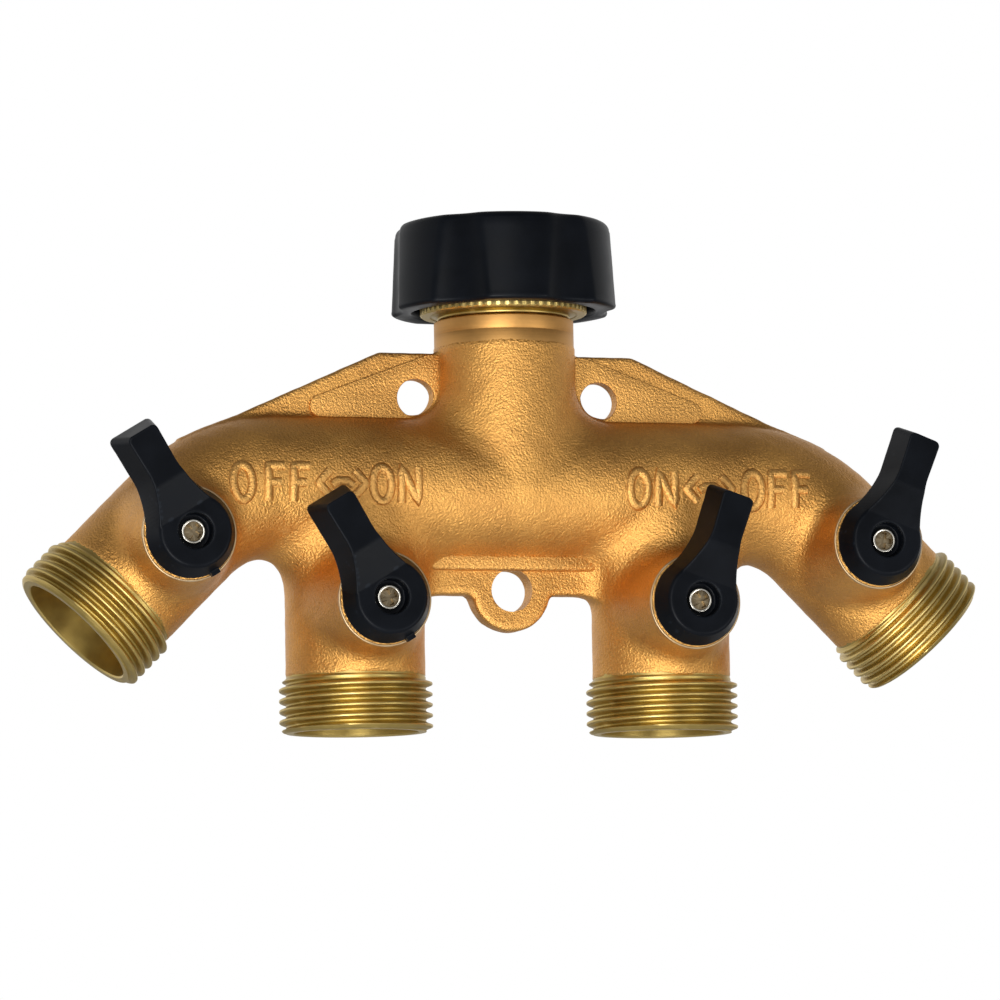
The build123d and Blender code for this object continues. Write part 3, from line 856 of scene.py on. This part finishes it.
@dataclass(frozen=True)
class CastDetails:
    """Raised pads on the webs, the rib above the lug and the turning marks on the header."""

    pad_proud: float = 0.4
    web_half_t: float = 1.25
    hole: tuple[float, float] = (16.6, -30.7)
    hole_r: float = 3.35
    corner_r: float = 4.3
    pad_top: tuple[float, float] = (14.4, -23.1)
    pad_tip: tuple[float, float] = (33.7, -32.35)
    pad_tip_r: float = 1.9
    pad_foot_z: float = -34.6
    rib_half_length: float = 15.6
    rib_z: float = -59.1
    rib_half_h: float = 1.5
    rib_front: float = -3.8
    stroke_r: float = 1.0
    stroke_sunk: float = 0.55
    letter_half_h: float = 2.9
    letter_z: float = -46.9

    def pad(self, side: int) -> bpy.types.Object:
        """The raised pad of one web, with its screw hole.

        Args:
            side: -1 for the left web and 1 for the right.

        Returns:
            The mesh object.
        """
        hx, hz = self.hole
        drop = math.degrees(math.atan2(self.pad_top[1] - self.pad_tip[1], self.pad_tip[0] - self.pad_top[0]))
        outline = [(hx - self.corner_r, self.pad_top[1]), self.pad_top]
        outline += arc(self.pad_tip, self.pad_tip_r, 90 - drop + 6, -90, 8)
        outline += [(hx + 2.0, self.pad_foot_z)]
        outline += arc(self.hole, self.corner_r, -115, -180, 8)
        hole = arc(self.hole, self.hole_r, 0, 360 - 9, 39)
        shapes = [[(side * x, z) for x, z in points] for points in (outline, hole)]
        front = -self.web_half_t - self.pad_proud
        name = "left_web_pad" if side < 0 else "right_web_pad"
        return plate(name, shapes, -self.web_half_t + 0.5, front, 0.16)

    def rib(self) -> bpy.types.Object:
        """The rounded rib above the lug.

        Returns:
            The mesh object.
        """
        reach, r = self.rib_half_length - self.rib_half_h, self.rib_half_h
        outline = list(arc((reach, self.rib_z), r, -90, 90, 8))
        outline += arc((-reach, self.rib_z), r, 90, 270, 8)
        return plate("lug_rib", [outline], -0.8, self.rib_front, 0.75)

    def strokes(self) -> dict[str, list[list[tuple[float, float]]]]:
        """Strokes of the plain marks, each centred on its own middle.

        Returns:
            For each mark, its strokes as points (x, z) in mm.
        """
        h = self.letter_half_h
        return {
            "O": [[(1.65 * math.cos(t), h * math.sin(t)) for t in np.linspace(0, 2 * math.pi, 25)]],
            "F": [[(-1.3, -h), (-1.3, h), (1.5, h)], [(-1.3, 0.15), (0.9, 0.15)]],
            "N": [[(-1.5, -h), (-1.5, h), (1.5, -h), (1.5, h)]],
            "<>": [[(-2.2, 2.2), (-4.2, 0.1), (-2.2, -2.0)], [(2.2, 2.2), (4.2, 0.1), (2.2, -2.0)],
                   [(-1.9, -0.2), (-0.8, 0.5), (0.8, 0.5), (1.9, -0.2)]],
        }

    def marks(self, name: str, layout: Sequence[tuple[str, float]], casting: Casting,
              valves: Sequence[Valve]) -> bpy.types.Object:
        """Raised turning marks that follow the header's round front.

        Args:
            name: The piece's name.
            layout: Each mark and the x of its middle.
            casting: The casting that they stand on.
            valves: The four valves.

        Returns:
            The marks as one mesh.
        """
        curve = bpy.data.curves.new(name, "CURVE")
        curve.dimensions = "3D"
        curve.bevel_depth = self.stroke_r * MM
        curve.bevel_resolution = 3
        curve.use_fill_caps = True
        shapes = self.strokes()
        for mark, middle in layout:
            for stroke in shapes[mark]:
                xs, zs = (np.array(v, dtype=float) for v in zip(*stroke))
                dense = np.linspace(0, len(stroke) - 1, 6 * (len(stroke) - 1) + 1)
                xs = np.interp(dense, range(len(stroke)), xs) + middle
                zs = np.interp(dense, range(len(stroke)), zs) + self.letter_z
                ys = casting.front(xs, zs, valves) + self.stroke_sunk
                spline = curve.splines.new("POLY")
                spline.points.add(len(xs) - 1)
                spline.points.foreach_set("co", np.stack([xs * MM, ys * MM, zs * MM, xs * 0 + 1], 1).ravel())
        obj = mesh_of(name, curve)
        smooth(obj, 50.0)
        return obj


# ---------------------------------------------------------------- turned work

@dataclass(frozen=True)
class PipeThread:
    """Parallel pipe thread of 14 turns to the inch, with rounded crests and roots."""

    crest_r: float = 13.22
    root_r: float = 12.06
    pitch: float = 25.4 / 14
    flat_share: float = 0.14
    rounding: float = 0.12

    def radius(self, angle: np.ndarray, along: np.ndarray) -> np.ndarray:
        """Radius of the thread's flank at an angle and a height.

        Args:
            angle: Angles round the axis.
            along: Heights in mm.

        Returns:
            The radii.
        """
        turn = np.mod(along / self.pitch - angle / (2 * math.pi), 1.0)
        rise = 1 - np.abs(2 * turn - 1)
        share = np.clip((rise - self.flat_share) / (1 - 2 * self.flat_share), 0, 1)
        rounded = share - self.rounding * np.sin(2 * math.pi * share)
        return self.root_r + (self.crest_r - self.root_r) * rounded


@dataclass(frozen=True)
class Outlets:
    """The four turned, threaded mouths and the machined ring round each stem."""

    thread: PipeThread = PipeThread()
    start_s: float = 11.0
    thread_s: float = 12.1
    mouth_s: float = 21.5
    chamfer: float = 0.85
    bore_r: float = 10.7
    bore_end_s: float = 12.45
    rings: int = 74
    steps: int = 144

    def cut(self, p: np.ndarray) -> np.ndarray:
        """Cut the helical thread in a turned blank.

        Args:
            p: Points in mm.

        Returns:
            The moved points.
        """
        radius, angle, s = np.hypot(p[:, 0], p[:, 1]), np.arctan2(p[:, 1], p[:, 0]), p[:, 2]
        outside = (radius > self.thread.root_r - 0.2) & (s > self.thread_s) & (s < self.mouth_s - 0.05)
        depth = self.thread.radius(angle, s) - self.thread.root_r
        run_in = ease((s - self.thread_s) / 0.9)
        limit = self.thread.crest_r - np.maximum(s - (self.mouth_s - self.chamfer), 0) * 1.05
        cut_r = np.minimum(self.thread.root_r - 0.05 + depth * run_in, limit)
        share = np.where(outside, cut_r / np.maximum(radius, 1e-6), 1.0)
        return np.column_stack([p[:, 0] * share, p[:, 1] * share, s])

    def pattern(self) -> bpy.types.Object:
        """One threaded mouth in its own frame, Z along the branch.

        Returns:
            The mesh object.
        """
        root, end = self.thread.root_r, self.mouth_s
        profile = [(root - 0.15, self.start_s), (root - 0.15, self.thread_s - 0.1)]
        span = end - 0.06 - self.thread_s
        profile += [(root, self.thread_s + 0.01 + span * i / self.rings) for i in range(self.rings + 1)]
        profile += [(root - 0.05, end), (self.bore_r + 0.25, end)]
        profile += [(self.bore_r, end - 0.25), (self.bore_r, end - 0.6)]
        profile += [(self.bore_r, self.bore_end_s + 0.3), (self.bore_r - 0.3, self.bore_end_s)]
        profile += [(self.bore_r - 0.3, self.start_s + 0.4), profile[0]]
        blank = turned("outlet_pattern", profile, self.steps)
        reshape(blank, self.cut)
        smooth(blank, 40.0)
        return blank

    def rim_pattern(self) -> bpy.types.Object:
        """The bright machined edge of a boss face, Z along the stem.

        Returns:
            The mesh object.
        """
        profile = [(7.8, 18.35), (7.8, 18.7), (7.9, 18.78)]
        profile += list(arc((8.0, 18.6), 0.18, 90, 0, 3)) + [(8.18, 18.3), (7.8, 18.35)]
        ring = turned("rim_pattern", profile, 96)
        smooth(ring)
        return ring


@dataclass(frozen=True)
class InletNut:
    """The swivel nut: moulded lobed grip, knurled and threaded brass insert, and the neck's turned band."""

    thread: PipeThread = PipeThread()
    top_r: float = 18.7
    base_r: float = 19.75
    base_z: float = -15.4
    top_fillet: float = 1.6
    base_fillet: float = 0.7
    lobes: int = 6
    lobe_phase: float = -100.0
    scallop_depth: float = 1.7
    scallop_r: float = 12.7
    insert_r: float = 14.5
    insert_z: float = -15.9
    undercut_r: float = 16.0
    undercut: float = 2.0
    knurls: int = 60
    knurl_depth: float = 0.1
    grip_inner_r: float = 16.5
    lobe_blend: float = 0.45

    def wall(self, z: np.ndarray) -> np.ndarray:
        """Radius of the grip's drafted wall at a height."""
        return self.top_r + (self.base_r - self.top_r) * z / self.base_z

    def lobe(self, p: np.ndarray) -> np.ndarray:
        """Hollow the six scallops out of the grip's wall, fillets and all.

        Args:
            p: Points in mm.

        Returns:
            The moved points.
        """
        radius, angle, z = np.hypot(p[:, 0], p[:, 1]), np.arctan2(p[:, 1], p[:, 0]), p[:, 2]
        centre = self.base_r - self.scallop_depth + self.scallop_r
        pitch = 2 * math.pi / self.lobes
        first = math.radians(self.lobe_phase) + pitch / 2
        off = np.mod(angle - first + pitch / 2, pitch) - pitch / 2
        reach = np.maximum(self.scallop_r ** 2 - (centre * np.sin(off)) ** 2, 0)
        missed = self.scallop_r ** 2 < (centre * np.sin(off)) ** 2
        hollow = np.where(missed, 99.0, centre * np.cos(off) - np.sqrt(reach))
        inset = self.wall(z) - radius
        outside = radius > self.grip_inner_r
        shaped = soft_min(self.wall(z), hollow, self.lobe_blend) - inset
        share = np.where(outside, shaped / np.maximum(radius, 1e-6), 1.0)
        return np.column_stack([p[:, 0] * share, p[:, 1] * share, z])

    def grip(self) -> bpy.types.Object:
        """The moulded grip.

        Returns:
            The mesh object.
        """
        inner, base, top = self.insert_r + 0.1, self.base_z, 0.0
        floor = base + self.undercut
        profile = [(inner, top - 0.2), (inner + 0.2, top)]
        profile += arc((self.top_r - self.top_fillet, top - self.top_fillet), self.top_fillet, 90, 3, 8)
        profile += [(float(self.wall(np.array(z))), z) for z in np.linspace(-2.0, base + 1.0, 16)]
        r0 = self.base_r - self.base_fillet
        profile += arc((r0, base + self.base_fillet), self.base_fillet, 0, -90, 6)
        profile += [(self.undercut_r + 0.25, base), (self.undercut_r, base + 0.25), (self.undercut_r, floor)]
        profile += [(inner, floor), profile[0]]
        grip = turned("nut_grip", profile, 240)
        reshape(grip, self.lobe)
        smooth(grip, 50.0)
        return grip

    def cut(self, p: np.ndarray) -> np.ndarray:
        """Cut the inner thread and the outer knurl of the insert.

        Args:
            p: Points in mm.

        Returns:
            The moved points.
        """
        radius, angle, z = np.hypot(p[:, 0], p[:, 1]), np.arctan2(p[:, 1], p[:, 0]), p[:, 2]
        tooth = 0.5 - 0.5 * np.cos(self.knurls * angle)
        knurled = radius - self.knurl_depth * tooth
        inside = (radius < 13.3) & (z < -0.3) & (z > -10.0) & (radius > 12.2)
        threaded = self.thread.radius(angle, z)
        new = np.where(radius > self.insert_r - 0.05, knurled, np.where(inside, threaded, radius))
        share = new / np.maximum(radius, 1e-6)
        return np.column_stack([p[:, 0] * share, p[:, 1] * share, z])

    def insert(self) -> bpy.types.Object:
        """The brass insert: knurl outside, thread and cavity inside, rolled lip below.

        Returns:
            The mesh object.
        """
        z, r = self.insert_z, self.insert_r
        profile = [(13.6, -0.1), (r - 0.3, -0.1), (r, -0.4)]
        profile += [(r, z + 0.25), (r - 0.3, z), (12.95, z), (12.85, z + 0.12), (12.55, z + 0.12), (12.4, z)]
        profile += [(11.75, z - 0.02)] + list(arc((11.1, z - 0.42), 0.42, 30, -150, 9)) + [(10.8, z - 0.2)]
        profile += [(10.8, -14.6), (13.4, -14.6), (13.4, -10.05)]
        profile += [(12.6, zz) for zz in np.linspace(-9.98, -0.32, 74)]
        profile += [(13.25, -0.25), (13.6, -0.1)]
        insert = turned("nut_insert", profile, 300)
        reshape(insert, self.cut)
        smooth(insert, 40.0)
        return insert

    def neck_band(self) -> bpy.types.Object:
        """The machined band that the nut's lip runs against.

        Returns:
            The mesh object.
        """
        r = 12.13
        profile = [(10.6, -16.98), (r - 0.2, -16.98), (r, -17.15), (r, -19.3), (r - 0.03, -19.35)]
        profile += [(r - 0.03, -19.45), (r, -19.5), (r, -22.2), (10.6, -22.2), (10.6, -16.98)]
        band = turned("neck_band", profile, 144)
        smooth(band)
        return band


# ---------------------------------------------------------------- levers

@dataclass(frozen=True)
class LeverWork:
    """The moulded lever, its pointer tab and the screw in its hub."""

    hub_base_r: float = 7.7
    hub_face_r: float = 6.25
    hub_base_h: float = 19.1
    hub_face_h: float = 23.1
    handle_h: float = 25.3
    length: float = 20.2
    tip_draft: float = 1.3
    start_y: float = 3.5
    ramp_end_y: float = 9.6
    waist_y: float = 12.0
    hub_w: tuple[float, float] = (6.75, 5.05)
    waist_w: tuple[float, float] = (4.05, 2.65)
    tip_w: tuple[float, float] = (4.2, 2.8)
    corner_r: float = 1.0
    stations: int = 40
    voxel: float = 0.2
    tab_w: float = 0.8
    tab_reach: float = 8.2
    cross_long: tuple[float, float] = (2.4, 3.5)
    cross_wide: tuple[float, float] = (0.7, 1.0)
    cross_floor_h: float = 20.6
    cross_top_h: float = 22.0
    dish_h: tuple[float, float] = (20.5, 21.4)
    dish_r: float = 1.75

    def half_width(self, y: np.ndarray, level: int, end: float) -> np.ndarray:
        """Half the handle's width.

        Args:
            y: Distance from the stem's axis.
            level: 0 at the handle's back and 1 at its front.
            end: Where the handle ends at that level.

        Returns:
            The half widths.
        """
        hub, waist, tip = self.hub_w[level], self.waist_w[level], self.tip_w[level]
        inwards = np.clip((self.waist_y - y) / (self.waist_y - self.start_y), 0, 1)
        near = waist + (hub - waist) * inwards ** 1.7
        far = waist + (tip - waist) * np.clip((y - self.waist_y) / (end - self.waist_y), 0, 1)
        width = np.where(y < self.waist_y, near, far)
        into = np.clip(y - (end - self.corner_r), 0, self.corner_r)
        return width - self.corner_r + np.sqrt(self.corner_r ** 2 - into ** 2)

    def form_handle(self, p: np.ndarray) -> np.ndarray:
        """Turn a subdivided block, 2 mm a side, into the waisted and drafted handle.

        Args:
            p: Points of the block in mm.

        Returns:
            The moved points.
        """
        share = np.sin((p[:, 1] + 1) / 2 * math.pi / 2)
        back_y = self.start_y + (self.length - self.start_y) * share
        front_end = self.length - self.tip_draft
        front_y = self.start_y + (front_end - self.start_y) * share
        rise = np.clip((front_y - self.start_y) / (self.ramp_end_y - self.start_y), 0, 1)
        top = self.hub_face_h + (self.handle_h - self.hub_face_h) * rise
        front = p[:, 2] > 0
        wide_front = self.half_width(front_y, 1, front_end)
        wide_back = self.half_width(back_y, 0, self.length)
        wide = np.where(front, wide_front, wide_back)
        y = np.where(front, front_y, back_y)
        return np.column_stack([p[:, 0] * wide, y, np.where(front, top, self.hub_base_h)])

    def handle(self) -> bpy.types.Object:
        """The handle, from a block cut across its length.

        Returns:
            The mesh object.
        """
        stock = block(2.0)
        bpy.ops.object.mode_set(mode="EDIT")
        bpy.ops.mesh.select_all(action="DESELECT")
        bpy.ops.object.mode_set(mode="OBJECT")
        points = [v.co for v in stock.data.vertices]
        for line in stock.data.edges:
            a, b = (points[i] for i in line.vertices)
            line.select = abs(a.y - b.y) > MM
        bpy.ops.object.mode_set(mode="EDIT")
        bpy.ops.mesh.select_mode(type="EDGE")
        bpy.ops.mesh.subdivide(number_cuts=self.stations)
        bpy.ops.object.mode_set(mode="OBJECT")
        reshape(stock, self.form_handle)
        return stock

    def hub(self) -> bpy.types.Object:
        """The hub, with its screw recess and the socket for the stem.

        Returns:
            The mesh object.
        """
        face, base = self.hub_face_h, self.hub_base_h
        profile = [(1.45, 20.6), (3.0, 20.6), (3.0, face - 0.15), (3.15, face)]
        profile += [(self.hub_face_r - 0.35, face + 0.02), (self.hub_face_r, face - 0.3)]
        profile += [(self.hub_base_r, base + 0.3), (self.hub_base_r - 0.1, base), (4.6, base)]
        profile += [(4.6, 16.7), (3.45, 16.7), (3.45, 20.0), (1.45, 20.0), (1.45, 20.6)]
        return turned("hub", profile, 96)

    def tab(self) -> bpy.types.Object:
        """The small pointer tab opposite the handle.

        Returns:
            The mesh object.
        """
        tab = block(1.0)
        low, high = self.hub_base_h + 0.05, self.hub_base_h + 1.3
        reshape(tab, lambda p: np.column_stack([
            p[:, 0] * 2 * self.tab_w, np.where(p[:, 1] < 0, -self.tab_reach, -6.9),
            np.where(p[:, 2] < 0, low, high)]))
        return tab

    def pattern(self, with_tab: bool) -> bpy.types.Object:
        """One lever in its own frame, moulded in one piece with soft edges.

        Args:
            with_tab: Whether it has the pointer tab.

        Returns:
            The mesh object.
        """
        parts = [self.hub(), self.handle()] + ([self.tab()] if with_tab else [])
        pick(*reversed(parts))
        bpy.ops.object.join()
        lever = bpy.context.object
        edit(weld)
        lever.data.remesh_voxel_size = self.voxel * MM
        bpy.ops.object.voxel_remesh()
        apply_modifier(lever, "SMOOTH", factor=0.5, iterations=3)
        smooth(lever, 60.0)
        return lever

    def screw_pattern(self, rim: bpy.types.Material, recess: bpy.types.Material) -> bpy.types.Object:
        """The cross-recessed screw, Z along the stem, bright outside, with painted shade in its dish and
        cross recess.

        Args:
            rim: The finish outside.
            recess: The painted shade of the dish and cross, a dark finish put where the recess lies in shade.

        Returns:
            The mesh object.
        """
        profile = [(0, 14.6), (1.1, 14.6), (1.2, 14.8), (1.2, 20.6), (2.0, 20.6), (2.12, 20.75), (2.12, 21.2)]
        profile += list(arc((1.87, 21.2), 0.25, 0, 90, 4)) + [(1.7, 21.4), (1.6, 21.2), (0, 21.2)]
        screw = turned("screw_pattern", profile, 72)
        for turn in (0, 90):
            cutter = block(1.0)

            def arm(p: np.ndarray) -> np.ndarray:
                """One tapering arm of the cross.

                Args:
                    p: Points of the block in mm.

                Returns:
                    The moved points.
                """
                deep = p[:, 2] < 0
                long, wide = np.where(deep, *self.cross_long), np.where(deep, *self.cross_wide)
                height = np.where(deep, self.cross_floor_h, self.cross_top_h)
                return np.column_stack([p[:, 0] * long, p[:, 1] * wide, height])

            reshape(cutter, arm)
            place(cutter, Matrix.Rotation(math.radians(turn), 4, "Z"))
            apply_modifier(screw, "BOOLEAN", operation="DIFFERENCE", object=cutter, solver="EXACT")
            scrap(cutter)
        mark = screw.data.attributes.get("turning_mm")
        if mark is not None:
            screw.data.attributes.remove(mark)
        mark_turning(screw)
        smooth(screw, 30.0)
        dress(screw, rim)
        screw.data.materials.append(recess)
        # Painted shade: faces of the head's middle and cross recess get the dark finish, standing in for the
        # shade inside the recess.
        for face in screw.data.polygons:
            at = face.center / MM
            in_shaded_dish = self.dish_h[0] < at.z < self.dish_h[1] and math.hypot(at.x, at.y) < self.dish_r
            face.material_index = int(in_shaded_dish)
        return screw


# ---------------------------------------------------------------- studio

@dataclass(frozen=True)
class Studio:
    """Pale floor, bright surroundings, soft lamps and the camera."""

    azimuth: float = 17.5
    drop: float = 5.9
    distance: float = 1022.0
    target: tuple[float, float, float] = (-1.2, 0.0, -48.0)
    lens: float = 212.4
    roll: float = -1.0
    floor_z: float = -900.0

    def floor(self) -> None:
        """A wide pale floor."""
        bpy.ops.object.select_all(action="DESELECT")
        bpy.ops.mesh.primitive_circle_add(vertices=96, radius=6.0, fill_type="NGON",
                                          location=(0, 0, self.floor_z * MM))
        floor = bpy.context.object
        floor.name = "floor"
        material = bpy.data.materials.new("pale_floor")
        material.use_nodes = True
        wire = Wiring(material.node_tree)
        shader = material.node_tree.nodes["Principled BSDF"]
        cloud = wire.add("TexNoise", {"Scale": 3.0})
        tint = wire.add("Mix", {0: cloud.outputs[0], 6: (0.80, 0.80, 0.80, 1), 7: (0.84, 0.84, 0.84, 1)},
                        data_type="RGBA")
        material.node_tree.links.new(tint.outputs[2], shader.inputs["Base Color"])
        shader.inputs["Roughness"].default_value = 0.8
        dress(floor, material)

    def surroundings(self) -> None:
        """White all round for the camera, with a darker front and ceiling for reflections."""
        world = bpy.data.worlds.new("studio")
        bpy.context.scene.world = world
        world.use_nodes = True
        wire = Wiring(world.node_tree)
        back = world.node_tree.nodes["Background"]
        way = wire.add("SeparateXYZ", {0: wire.add("TexCoord").outputs["Generated"]})
        behind = wire.span(way.outputs["Y"], -0.3, 0.4, 0.36, 1.0)
        roof = wire.span(way.outputs["Z"], 0.35, 0.8, 1.0, 0.3)
        seen = wire.add("LightPath").outputs["Is Camera Ray"]
        light = wire.math("MAXIMUM", wire.math("MULTIPLY", behind, roof), seen)
        world.node_tree.links.new(light, back.inputs["Strength"])
        back.inputs["Color"].default_value = (1, 1, 1, 1)

    def lamp(self, name: str, where: tuple[float, float, float], size: float, power: float) -> None:
        """A square soft lamp, in metres and watts, aimed at the piece.

        Args:
            name: The lamp's name.
            where: Its place in metres.
            size: Its side in metres.
            power: Its power in watts.
        """
        data = bpy.data.lights.new(name, "AREA")
        data.size = size
        data.energy = power
        lamp = bpy.data.objects.new(name, data)
        lamp.location = where
        aim = Vector(self.target) * MM - Vector(where)
        lamp.rotation_euler = aim.to_track_quat("-Z", "Y").to_euler()
        bpy.context.scene.collection.objects.link(lamp)

    def camera(self) -> None:
        """The camera, a little below and to the left."""
        side, down = math.radians(self.azimuth), math.radians(self.drop)
        away = Vector((-math.sin(side) * math.cos(down), -math.cos(side) * math.cos(down), -math.sin(down)))
        data = bpy.data.cameras.new("camera")
        data.lens = self.lens
        data.clip_end = 100.0
        camera = bpy.data.objects.new("camera", data)
        turn = (-away).to_track_quat("-Z", "Y").to_matrix().to_4x4()
        roll = Matrix.Rotation(math.radians(self.roll), 4, "Z")
        spot = (Vector(self.target) + away * self.distance) * MM
        camera.matrix_world = Matrix.Translation(spot) @ turn @ roll
        bpy.context.scene.collection.objects.link(camera)
        bpy.context.scene.camera = camera

    def build(self) -> None:
        """Set the whole studio up."""
        self.floor()
        self.surroundings()
        self.lamp("key_front", (-0.4, -1.05, 0.2), 0.6, 3.2)
        self.lamp("low_left", (-0.42, -0.85, -0.52), 0.5, 9.0)
        self.lamp("low_right", (0.62, -0.78, -0.38), 0.4, 2.5)
        self.camera()
        bpy.context.scene.view_settings.view_transform = "Standard"


# ---------------------------------------------------------------- assembly

@dataclass
class Splitter:
    """The whole fitting: builds every piece, dresses it and seats it on its body."""

    valves: list[Valve]
    materials: dict[str, bpy.types.Material]
    casting: Casting = Casting()
    details: CastDetails = CastDetails()
    outlets: Outlets = Outlets()
    nut: InletNut = InletNut()
    levers: LeverWork = LeverWork()

    def seat(self, piece: bpy.types.Object, body: str, material: str | None, slot: str,
             *replaced: str) -> None:
        """Dress a piece, ride it on its body and report it.

        Args:
            piece: The finished piece.
            body: The body it rides on.
            material: The name of its finish, or None if it is already dressed.
            slot: The record's material slot; not used.
            replaced: The CAD nodes that it stands for.
        """
        if material:
            dress(piece, self.materials[material])
        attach(piece, body)
        if replaced:
            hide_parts(*replaced)
        LOG.info("%s: %d faces on %s", piece.name, len(piece.data.polygons), body)

    def build_casting(self) -> None:
        """The casting with its pads, rib and marks."""
        self.seat(self.casting.build(self.valves), "manifold", "cast_brass", "cast_brass", "manifold_body")
        for side in (-1, 1):
            self.seat(self.details.pad(side), "manifold", "cast_brass", "cast_brass")
        self.seat(self.details.rib(), "manifold", "cast_brass", "cast_brass")
        left = [("O", -50.35), ("F", -44.55), ("F", -40.1), ("<>", -32.9), ("O", -25.9), ("N", -20.9)]
        right = [("O", 20.3), ("N", 25.3), ("<>", 33.1), ("O", 41.1), ("F", 45.8), ("F", 50.2)]
        for name, layout in (("left_turning_marks", left), ("right_turning_marks", right)):
            marks = self.details.marks(name, layout, self.casting, self.valves)
            self.seat(marks, "manifold", "cast_brass", "cast_brass")

    def build_outlets(self) -> None:
        """The threaded mouths and the rings on the bosses."""
        mouth, rim = self.outlets.pattern(), self.outlets.rim_pattern()
        for valve in self.valves:
            thread = copy_of(mouth, f"{valve.name}_outlet_thread")
            place(thread, valve.branch_frame())
            self.seat(thread, "manifold", "turned_brass", "cast_brass")
            ring = copy_of(rim, f"{valve.name}_boss_rim")
            place(ring, valve.face_frame())
            self.seat(ring, "manifold", "ground_rim", "cast_brass")
        scrap(mouth, rim)

    def build_nut(self) -> None:
        """The inlet nut and the neck's band."""
        self.seat(self.nut.grip(), "inlet_nut", "black_plastic", "black_plastic", "swivel_nut_grip")
        self.seat(self.nut.insert(), "inlet_nut", "turned_brass", "turned_brass", "swivel_nut")
        self.seat(self.nut.neck_band(), "manifold", "turned_neck", "cast_brass")

    def build_levers(self) -> None:
        """The four levers and their screws."""
        patterns = {True: self.levers.pattern(True), False: self.levers.pattern(False)}
        screw = self.levers.screw_pattern(self.materials["nickel_screw"], self.materials["screw_recess_painted_shade"])
        for number, valve in enumerate(self.valves):
            lever = copy_of(patterns[valve.side < 0], f"{valve.name}_moulded_lever")
            place(lever, valve.lever_frame())
            self.seat(lever, valve.body, "black_plastic", "black_plastic", f"{valve.name}_lever")
            head = copy_of(screw, f"{valve.name}_cross_screw")
            place(head, valve.lever_frame() @ Matrix.Rotation(0.4 + number, 4, "Z"))
            self.seat(head, valve.body, None, "screw_steel", f"{valve.name}_lever_screw")
        scrap(screw, *patterns.values())

    def dress_nodes(self) -> None:
        """Finish the CAD nodes that stay, by their slots in the record."""
        looks = {"turned_brass": "turned_brass", "spring_steel": "spring_steel",
                 "black_rubber": "black_rubber", "seat_plastic": "seat_plastic",
                 "plated_ball": "plated_ball", "cast_brass": "cast_brass",
                 "black_plastic": "black_plastic", "screw_steel": "nickel_screw"}
        for part in frame["record"]["subparts"]:
            node = frame["nodes"][part["node"]]
            material = self.materials[looks[part["material_slot"]]]
            for holder in node.material_slots:
                holder.material = material

    def build(self) -> None:
        """Build everything in order."""
        self.build_casting()
        self.build_outlets()
        self.build_nut()
        self.build_levers()
        self.dress_nodes()


def main() -> None:
    """Build the finishes, the splitter and the studio."""
    logging.basicConfig(level=logging.INFO, format="%(message)s")
    groups = {kind: make() for kind, make in GROUPS.items()}
    materials = {finish.name: finish.build(groups) for finish in FINISHES}
    Splitter(read_valves(), materials).build()
    Studio().build()


if __name__ == "__main__":
    main()
